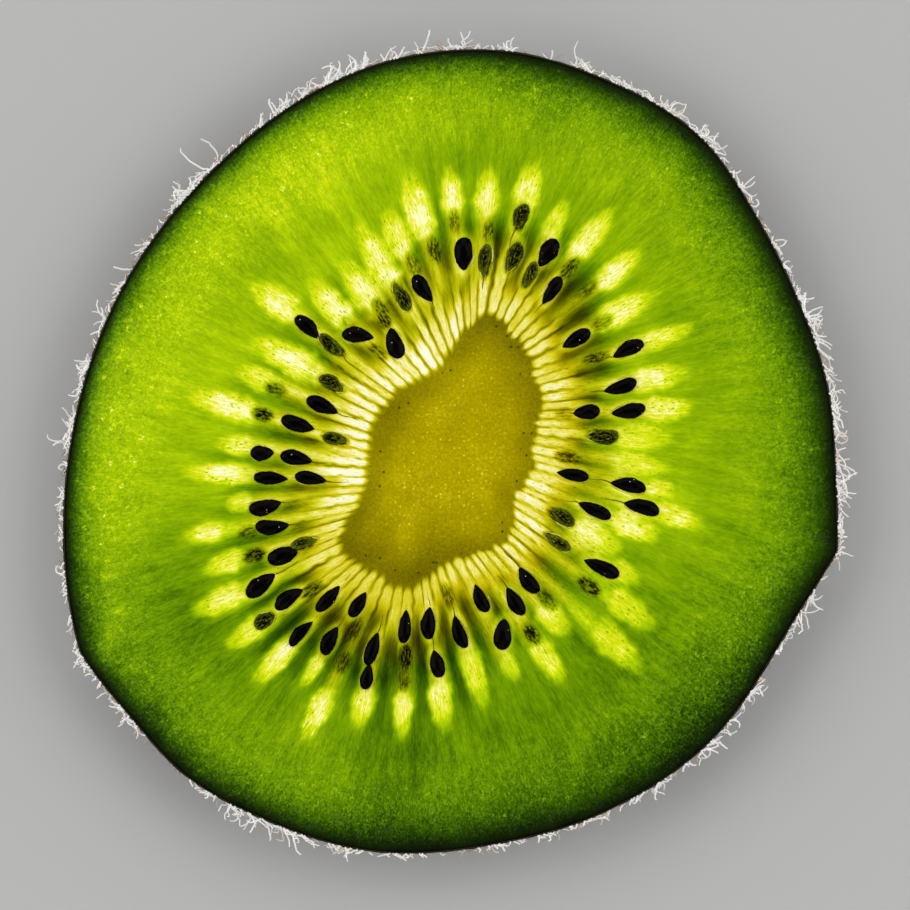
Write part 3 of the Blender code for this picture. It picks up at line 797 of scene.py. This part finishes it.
FUZZ_HEIGHTS, FUZZ_LENGTHS = (0.12, 4.7), (0.35, 0.9)
ROOT_DEPTH = 0.04  # how deep the hairs stand in the skin

# The hairs all along the edge, as (hairs, length, height from, to, lean, curl, combed share, spread)
EDGE_HAIRS = ((290, 0.36, 4.55, 4.9, 1.66, 0.2, 0.5, 0.12), (115, 0.7, 3.4, 4.6, 1.3, 1.2, 0.5, 0.3))
TUFT_HEIGHTS = (4.2, 4.9)
CLUMP_HAIRS, CLUMP_HALF_WIDTH = 7, 0.8  # the width in degrees


def skin_by_plain_heading(degrees):
    """The skin's place at plain headings about the slice's middle."""
    headings = np.arange(0, 360, 0.2)
    x, y = place(headings, skin_reach(headings))
    plain = np.degrees(np.arctan2(y, x)) % 360
    order = np.argsort(plain)
    return tuple(np.interp(degrees, plain[order], values[order], period=360) for values in (x, y))


def hair_paths(plain, heights, lengths, leans, curls, lifts, steps=HAIR_STEPS):
    """Curly paths from roots on the skin, by plain heading and height, that bend as they run."""
    before_x, before_y = skin_by_plain_heading(plain - 0.6)
    after_x, after_y = skin_by_plain_heading(plain + 0.6)
    outward = np.arctan2(before_x - after_x, after_y - before_y)
    out_x, out_y = np.cos(outward), np.sin(outward)
    x, y = lowered(*skin_by_plain_heading(plain), np.minimum(heights, WIDEST_HEIGHT))
    x, y, z = x - ROOT_DEPTH * out_x, y - ROOT_DEPTH * out_y, heights
    root_x, root_y = x, y
    heading, step = outward + leans, lengths / (steps - 1)
    wander = rng.normal(0, 1, (steps, len(plain)))
    kinked = rng.uniform(0, 1, wander.shape) < 0.06
    kinks = kinked * rng.choice((-1, 1), wander.shape) * rng.uniform(0.6, 1.6, wander.shape)
    paths = [stacked(x, y, z)]
    for k in range(1, steps):
        heading = heading + curls / (steps - 1) + wander[k] * 0.2 + kinks[k]
        x, y = x + step * np.cos(heading), y + step * np.sin(heading)
        z = np.clip(z + step * (lifts + 0.25 * wander[k - 1]), 0.06, THICKNESS + 0.35)
        back = np.maximum(0.06 + 0.02 * k - (x - root_x) * out_x - (y - root_y) * out_y, 0)
        x, y = x + back * out_x, y + back * out_y
        paths.append(stacked(x, y, z))
    return np.stack(paths, axis=1)


def make_hairs():
    """The hairs at the cut's edge, painted near white for light from behind: a thin line along it and the
    tufts that stand out from it.
    """
    grown = []

    def grow(low, high, count, length, z_low, z_high, lean, curl, combed, spread=0.3):
        plain, heights = rng.uniform(low, high, count), rng.uniform(z_low, z_high, count)
        lengths = length * rng.uniform(0.55, 1.35, count)
        side = np.where(rng.uniform(0, 1, count) < combed, 1.0, -1.0)
        leans = side * rng.normal(lean, spread, count)
        curls, lifts = rng.normal(0, curl, count), rng.normal(0.0, 0.3, count)
        grown.append((plain, heights, lengths, leans, curls, lifts))

    for row in EDGE_HAIRS:
        grow(BARE[1] - 360, BARE[0], *row)
    for low, high, count, length in TUFTS:
        combed = 0.9 if rng.uniform() < 0.3 else 0.1
        for root in rng.uniform(low, high, max(1, count // 6)):
            clump = root - CLUMP_HALF_WIDTH, root + CLUMP_HALF_WIDTH, CLUMP_HAIRS
            grow(*clump, length * 1.2, *TUFT_HEIGHTS, 1.36, 0.6, combed, 0.13)
        grow(low, high, round(count * 0.26), length * 1.4, *TUFT_HEIGHTS, 0.95, 2.4, combed)
    paths = hair_paths(*np.concatenate(grown, axis=1))
    count = len(paths)
    radii = rng.uniform(*HAIR_RADII, (count, 1)) * np.linspace(1.0, 0.65, HAIR_STEPS)
    hairs = tubes("kiwi_hairs", paths, radii)
    few, strong, faint = rng.uniform(0, 1, count), rng.uniform(0.3, 0.7, count), rng.uniform(0, 0.04, count)
    amber = np.where(few < 0.04, strong, faint)
    add_masks(hairs, amber=np.repeat(amber, HAIR_STEPS * HAIR_SIDES))
    return hairs


def make_fuzz():
    """The short tan fuzz all over the skin's side."""
    plain, heights = rng.uniform(-180, 180, FUZZ_COUNT), rng.uniform(*FUZZ_HEIGHTS, FUZZ_COUNT)
    lengths = rng.uniform(*FUZZ_LENGTHS, FUZZ_COUNT)
    leans = rng.choice((-1, 1), FUZZ_COUNT) * rng.normal(1.25, 0.35, FUZZ_COUNT)
    lifts, curls = rng.normal(-0.1, 0.6, FUZZ_COUNT), rng.normal(0, 1.2, FUZZ_COUNT)
    paths = hair_paths(plain, heights, lengths, leans, curls, lifts, FUZZ_STEPS)
    radii = rng.uniform(*FUZZ_RADII, (FUZZ_COUNT, 1)) * np.linspace(1.0, 0.6, FUZZ_STEPS)
    fuzz = tubes("kiwi_fuzz", paths, radii)
    pale = rng.uniform(0, 0.6, FUZZ_COUNT) + 0.4 * smooth(3.2, 4.7, heights)
    add_masks(fuzz, pale=np.repeat(pale, FUZZ_STEPS * HAIR_SIDES))
    return fuzz


def make_threads():
    """The fine dark threads that tie seeds to the core."""
    paths, t = [], np.linspace(0, 1, THREAD_STEPS)
    for heading, distance, turn, length, _ in SEEDS + SUNK_SEEDS[:6]:
        if abs(turn) > 20 or rng.uniform() < 0.4:
            continue
        x, y = place(heading, distance)
        tip_x, tip_y = turned(-0.49 * length, 0, heading + turn)
        at, out = fan_of(x + tip_x, y + tip_y)
        goal = max(core_reach(heading) + 0.5, out - rng.uniform(0.5, 1.7))
        if out - goal < 0.5:
            continue
        bearing = at + rng.uniform(-0.6, 0.6) * t + rng.uniform(0.1, 0.35) * np.sin(t * rng.uniform(3, 6))
        run = towards(out, goal, t)
        paths.append(stacked(*place(bearing, run), flesh_height(bearing, run) + THREAD_RISE))
    radii = np.tile(np.linspace(*THREAD_RADII, THREAD_STEPS), (len(paths), 1))
    return tubes("kiwi_threads", np.array(paths), radii, THREAD_SIDES)


def make_gel():
    """The wet rim of pale gel round each seed, where it meets the flesh."""
    around, sides = GEL_AROUND, GEL_SIDES
    points, faces = [], []
    t = math.tau * np.arange(around) / around
    share, side = np.clip((1 + np.cos(t)) / 2, 0.004, 0.996), np.sign(np.sin(t))
    for number, (heading, distance, turn, length, width) in enumerate(SEEDS + SUNK_SEEDS):
        along, aside = (share - 0.5) * (length + 0.1), girth(share) * width / 2 + GEL_GAP
        thick = rng.uniform(0.3, 1.2, around)
        thick = GEL_THICKNESS * sum(np.roll(thick, places) for places in (0, 1, -1, 2)) / 4
        waves = rng.uniform(0, math.tau, 3)
        sink = 0.03 * sum(np.sin(t * (n + 1) + wave) for n, wave in enumerate(waves)) - 0.012
        x, y = place(heading, distance)
        for ring in range(sides):
            off, up = direction(360 * ring / sides)
            off_x, off_y = turned(along, side * (aside + off * thick), heading + turn)
            rise = GEL_RISE / GEL_THICKNESS * up * thick
            height = flesh_height(*fan_of(x + off_x, y + off_y)) + sink + rise
            points.append(stacked(x + off_x, y + off_y, height))
        faces += ring_faces(sides, around, closed=True, first=number * sides * around, flip=True)
    return mesh_object("kiwi_gel", np.concatenate(points), faces)


def make_skin():
    """The thin brown skin round the flesh, a closed band whose edge shows at the cut."""
    headings = np.arange(SKIN_AROUND) * 360 / SKIN_AROUND
    skin = skin_reach(headings)
    outside, inside = [], []
    for z in SKIN_HEIGHTS:
        x, y = lowered(*place(headings, skin), min(z, WIDEST_HEIGHT))
        rough = 0.015 * ripple(x + 3 * z, y, 1.3, 21) + 0.01 * ripple(x, y + 2 * z, 0.5, 22)
        off_x, off_y = turned(rough - 0.05 * (z == SKIN_HEIGHTS[0]), 0, np.degrees(np.arctan2(y, x)))
        outside.append(stacked(x + off_x, y + off_y, z))
        x, y = lowered(*place(headings, skin - SKIN_THICKNESS), min(z, WIDEST_HEIGHT))
        inside.append(stacked(x, y, z + 0.04 * (z == SKIN_HEIGHTS[0])))
    rings = outside + inside[::-1]
    made = mesh_object("kiwi_skin", np.concatenate(rings), ring_faces(len(rings), SKIN_AROUND, closed=True))
    heights = np.repeat(SKIN_HEIGHTS + SKIN_HEIGHTS[::-1], SKIN_AROUND)
    # where painted shade darkens the skin's top edge
    add_masks(made, cut=smooth(4.45, 4.75, heights))
    return made


# Materials


class Paint:
    """A material's nodes, with short calls for the ones used here."""

    def __init__(self, name):
        self.material = bpy.data.materials.new(name)
        self.material.use_nodes = True
        self.tree = self.material.node_tree
        self.shader = self.tree.nodes["Principled BSDF"]

    def feed(self, node, inputs):
        for name, value in inputs.items():
            if isinstance(value, bpy.types.NodeSocket):
                self.tree.links.new(value, node.inputs[name])
            else:
                node.inputs[name].default_value = value

    def node(self, kind, inputs, **settings):
        """A new node with its inputs, by name or number, and its settings."""
        made = self.tree.nodes.new("ShaderNode" + kind)
        for name, value in settings.items():
            setattr(made, name, value)
        self.feed(made, inputs)
        return made

    def mask(self, name):
        return self.node("Attribute", {}, attribute_name=name).outputs["Fac"]

    def stretched(self, name, share):
        """The mesh's own coordinates of this name, in which patterns run on along the third."""
        vector = self.node("Attribute", {}, attribute_name=name).outputs["Vector"]
        made = self.node("VectorMath", {0: vector, 1: (1.0, 1.0, share)}, operation="MULTIPLY")
        return made.outputs["Vector"]

    def place(self):
        return self.node("TexCoord", {}).outputs["Object"]

    def noise(self, vector, scale, detail=2.0, roughness=0.5):
        inputs = {"Vector": vector, "Scale": scale, "Detail": detail, "Roughness": roughness}
        return self.node("TexNoise", inputs).outputs["Fac"]

    def cells(self, vector, scale, flat=False):
        """Scattered points: the distance to the nearest, and a number of its own for each."""
        dimensions = "2D" if flat else "3D"
        made = self.node("TexVoronoi", {"Vector": vector, "Scale": scale}, voronoi_dimensions=dimensions)
        return made.outputs["Distance"], self.node("SeparateColor", {0: made.outputs["Color"]}).outputs["Red"]

    def sum(self, operation, *values):
        return self.node("Math", dict(enumerate(values)), operation=operation).outputs[0]

    def times(self, one, other):
        return self.sum("MULTIPLY", one, other)

    def plus(self, value, amount, share=1.0):
        """A value with a share of an amount added."""
        return self.sum("MULTIPLY_ADD", amount, share, value)

    def off_middle(self, value, share):
        """How far a 0 to 1 value lies from a half, times a share."""
        return self.times(self.sum("SUBTRACT", value, 0.5), share)

    def between(self, value, low, high, to_low=0.0, to_high=1.0):
        inputs = {"Value": value, "From Min": low, "From Max": high, "To Min": to_low, "To Max": to_high}
        return self.node("MapRange", inputs, interpolation_type="SMOOTHSTEP").outputs["Result"]

    def ramp(self, value, stops):
        made = self.node("ValToRGB", {"Fac": value})
        elements = made.color_ramp.elements
        while len(elements) < len(stops):
            elements.new(0.5)
        for element, (position, colour) in zip(elements, stops):
            element.position = position
            element.color = linear(colour)
        return made.outputs["Color"]

    def blend(self, share, one, other):
        """From one colour to another, which may be an sRGB colour of three numbers."""
        other = linear(other) if isinstance(other, tuple) else other
        return self.node("Mix", {0: share, 6: one, 7: other}, data_type="RGBA").outputs[2]

    def bump(self, height, strength, distance):
        made = self.node("Bump", {"Height": height, "Strength": strength, "Distance": distance * MM})
        self.feed(self.shader, {"Normal": made.outputs["Normal"]})

    def finish(self, item, colour, roughness, specular=0.5, ior=1.45):
        self.feed(self.shader, {"Base Color": colour, "Roughness": roughness})
        self.feed(self.shader, {"Specular IOR Level": specular, "IOR": ior})
        item.data.materials.append(self.material)


def paint_flesh(item):
    """Wet flesh: the light that each place lets through, broken up by fibres, grains and specks, with painted
    glints in the grainy outer flesh.
    """
    paint = Paint("flesh")
    grain = paint.mask("grain")
    streaks = paint.noise(paint.stretched("fibre", 0.1), 2.6, 4.0, 0.62)
    fine = paint.noise(paint.stretched("fibre", 0.2), 9.0, 3.0, 0.7)
    patches = paint.noise(paint.place(), 620, 2.0, 0.5)
    _, mosaic = paint.cells(paint.stretched("fibre", 0.6), 6.5)
    grit = paint.noise(paint.stretched("fibre", 0.5), 12.5, 2.0, 0.8)
    apart, own = paint.cells(paint.stretched("fibre", 0.36), 8.0)
    mottle = paint.noise(paint.stretched("fibre", 0.36), 7.0, 3.0, 0.7)
    flecks = paint.times(paint.between(mosaic, 0.93, 1.0), paint.between(grit, 0.45, 0.62))
    dots = paint.times(paint.between(apart, 0.4, 0.16), paint.between(own, 0.45, 1.0, 0.0, 0.24))

    light = paint.plus(paint.mask("light"), paint.off_middle(streaks, 0.34), paint.mask("fibrous"))
    light = paint.plus(light, paint.off_middle(fine, 1.0), paint.mask("broken"))
    light = paint.plus(light, paint.off_middle(mosaic, 0.1), grain)
    light = paint.plus(light, paint.off_middle(grit, 0.52), grain)
    light = paint.plus(light, paint.times(flecks, grain), 0.15)
    light = paint.plus(light, paint.off_middle(patches, 0.12))
    light = paint.sum("SUBTRACT", light, paint.times(dots, paint.mask("pulp")))
    mottle = paint.times(paint.between(mottle, 0.4, 0.6, -0.16, 0.42), paint.mask("deep"))
    light = paint.sum("SUBTRACT", light, mottle)
    green, yellow = paint.ramp(light, GREEN_LIGHT), paint.ramp(light, YELLOW_LIGHT)
    colour = paint.blend(paint.mask("yellow"), green, yellow)
    # painted highlights: tiny bright glints in the grainy outer flesh
    painted_glint = paint.times(paint.between(grit, 0.54, 0.72, 0.0, 0.07), grain)
    colour = paint.blend(painted_glint, colour, PAINTED_FLESH_GLINT)
    paint.bump(paint.plus(grit, fine), 0.3, 0.035)
    rough = paint.plus(paint.between(grit, 0.3, 0.7, 0.15, 0.26), paint.mask("rim"), 0.5)
    paint.finish(item, colour, rough, specular=0.06, ior=1.38)


def paint_core(item):
    """The firm core: a darker band at its edge with a few dots, fine pale grains in the middle."""
    paint = Paint("core")
    where, inset = paint.place(), paint.mask("inset")
    grains = paint.noise(where, 5600, 3.0, 0.65)
    light = paint.plus(paint.between(inset, 0.0, 2.6, CORE_EDGE, CORE_MIDDLE), paint.off_middle(grains, 0.62))
    light = paint.plus(light, paint.off_middle(paint.noise(where, 420, 2.0, 0.5), 0.3))
    light = paint.plus(light, paint.mask("shade"))
    apart, own = paint.cells(where, 3300, flat=True)
    bright = paint.times(paint.between(apart, 0.38, 0.1), paint.between(own, 0.5, 1.0, 0.0, 0.2))
    light = paint.plus(light, bright, paint.between(inset, 0.5, 2.0))
    apart, _ = paint.cells(where, 980, flat=True)
    band = paint.times(paint.between(inset, 0.2, 0.35), paint.between(inset, 1.1, 0.85))
    dots = paint.times(paint.between(apart, 0.11, 0.06, 0.0, 0.8), band)
    colour = paint.blend(dots, paint.ramp(light, CORE_LIGHT), CORE_DOT)
    fine = paint.noise(paint.stretched("fibre", 0.2), 9.0, 3.0, 0.7)
    stripe = paint.plus(paint.mask("striped"), paint.off_middle(fine, 1.0), 0.35)
    colour = paint.blend(paint.mask("begun"), colour, paint.ramp(stripe, YELLOW_LIGHT))
    paint.bump(grains, 0.25, 0.03)
    paint.finish(item, colour, paint.between(grains, 0.3, 0.7, 0.2, 0.32), specular=0.08, ior=1.38)


def paint_seeds(item):
    """Glossy black-brown seeds, finely pitted, with green mottling where flesh covers them and a few painted
    glints.
    """
    paint = Paint("seed")
    where, sunk = paint.place(), paint.mask("sunk")
    blotches = paint.noise(where, 3800, 3.0, 0.7)
    black = paint.blend(paint.mask("tone"), linear(SEED_BLACK), SEED_BROWN)
    black = paint.blend(paint.between(blotches, 0.6, 0.75, 0.0, 0.5), black, SEED_BLOTCH)
    streaks = paint.noise(paint.stretched("own", 0.4), 9.0, 3.0, 0.72)
    veil = paint.plus(paint.between(streaks, 0.48, 0.67), paint.mask("buried"), 0.5)
    veil = paint.times(paint.sum("MINIMUM", veil, 1.0), sunk)
    colour = paint.blend(paint.times(veil, 0.78), black, SEED_VEIL)
    # painted highlights: tiny glints in the base colour, more of them on the sunk seeds
    apart, number = paint.cells(where, 3600)
    number = paint.plus(number, sunk, 0.07)
    glints = paint.times(paint.between(apart, 0.17, 0.07), paint.between(number, 0.87, 0.91))
    colour = paint.blend(glints, colour, PAINTED_SEED_GLINT)
    paint.bump(paint.cells(where, 9000)[0], 0.25, 0.03)
    paint.finish(item, colour, paint.between(blotches, 0.3, 0.7, 0.16, 0.28), specular=0.04)


def paint_skin(item):
    """Thin brown skin, rough and freckled, with painted shade darkening its top edge at the cut."""
    paint = Paint("skin")
    where = paint.place()
    grain = paint.noise(where, 1700, 5.0, 0.65)
    freckles, _ = paint.cells(where, 1500)
    freckled = paint.between(freckles, 0.3, 0.1, 0.0, 0.55)
    colour = paint.blend(freckled, paint.ramp(grain, SKIN_COLOURS), SKIN_FRECKLE)
    # painted shade: the skin's top edge at the cut is darkened
    colour = paint.blend(paint.times(paint.mask("cut"), 0.85), colour, SHADED_SKIN_TOP)
    paint.bump(paint.plus(grain, freckles), 0.6, 0.08)
    paint.finish(item, colour, paint.between(grain, 0.3, 0.7, 0.6, 0.8), specular=0.3)


def paint_simple(item, name, noise, stops, rough, mask=None, other=None, **gloss):
    """One noise through a few colours, with another colour let in by a mask, and an uneven roughness."""
    paint = Paint(name)
    where = paint.place()
    colour = paint.ramp(paint.noise(where, *noise), stops)
    if mask:
        colour = paint.blend(paint.mask(mask), colour, other)
    scale, least, most = rough
    paint.finish(item, colour, paint.between(paint.noise(where, scale), 0.3, 0.7, least, most), **gloss)


# Stage, light and camera

FLOOR_HALF = 6.0  # metres
LIGHTS = (("left", 172, 4.3), ("right", 8, 4.3), ("back", 92, 3.1), ("front", 268, 2.6))  # heading, watts
LIGHT_ELEVATION, LIGHT_DISTANCE, LIGHT_SIZE = 36, 0.8, 0.8
WORLD_LIGHT = 0.04
PHOTO_PX = 910
PX_PER_MM = 15.0
AIM_PX = (455, 455)  # the photo's middle
ORIGIN_PX = (450.5, 451.4)  # where the slice's middle lies in the photo
LENS, SENSOR = 100.0, 36.0


def make_floor():
    mesh = bpy.data.meshes.new("floor")
    corners = [(x * FLOOR_HALF, y * FLOOR_HALF, 0) for x, y in ((-1, -1), (1, -1), (1, 1), (-1, 1))]
    mesh.from_pydata(corners, [], [(0, 1, 2, 3)])
    floor = add_object("floor", mesh)
    paint = Paint("floor")
    tint = paint.ramp(paint.noise(paint.place(), 3.0), FLOOR_COLOURS)
    paint.finish(floor, tint, 0.9, specular=0.1)


def make_light(name, heading, power):
    """A soft box that faces the slice."""
    lamp = bpy.data.lights.new(name, "AREA")
    lamp.shape, lamp.size, lamp.energy = "SQUARE", LIGHT_SIZE, power
    made = add_object(name, lamp)
    out, up = turned(LIGHT_DISTANCE, 0, LIGHT_ELEVATION)
    made.location = (*turned(out, 0, heading), up)
    made.rotation_mode = "QUATERNION"
    made.rotation_quaternion = Vector(made.location).to_track_quat("Z", "Y")


def make_camera():
    """A camera straight above, at the photo's scale and framing."""
    data = bpy.data.cameras.new("camera")
    data.lens, data.sensor_width = LENS, SENSOR
    data.clip_start, data.clip_end = 0.01, 10.0
    camera = add_object("camera", data)
    away = PHOTO_PX / PX_PER_MM * LENS / SENSOR
    x, y = (AIM_PX[0] - ORIGIN_PX[0]) / PX_PER_MM, (ORIGIN_PX[1] - AIM_PX[1]) / PX_PER_MM
    camera.location = (x * MM, y * MM, (THICKNESS + away) * MM)
    bpy.context.scene.camera = camera


def make_world():
    world = bpy.data.worlds.new("studio")
    world.use_nodes = True
    background = world.node_tree.nodes["Background"]
    background.inputs["Color"].default_value = (1.0, 1.0, 1.0, 1.0)
    background.inputs["Strength"].default_value = WORLD_LIGHT
    bpy.context.scene.world = world
    bpy.context.scene.view_settings.view_transform = "Standard"


paint_flesh(make_flesh())
paint_core(make_core())
paint_seeds(make_seeds())
paint_simple(make_gel(), "gel", (1500, 3.0, 0.6), GEL_COLOURS, (4000, 0.1, 0.3), specular=0.15, ior=1.36)
paint_simple(make_threads(), "thread", (1800,), THREAD_COLOURS, (4000, 0.3, 0.5), specular=0.1)
paint_skin(make_skin())
# the hairs' near-white colour is a painted glow of light from behind
paint_simple(make_hairs(), "hair", (1300,), BACKLIT_HAIR_COLOURS, (1300, 0.4, 0.6), "amber", AMBER_HAIR, specular=0.4)
paint_simple(make_fuzz(), "fuzz", (1300,), FUZZ_COLOURS, (1300, 0.5, 0.7), "pale", PALE_FUZZ, specular=0.3)

make_floor()
for light in LIGHTS:
    make_light(*light)
make_world()
make_camera()
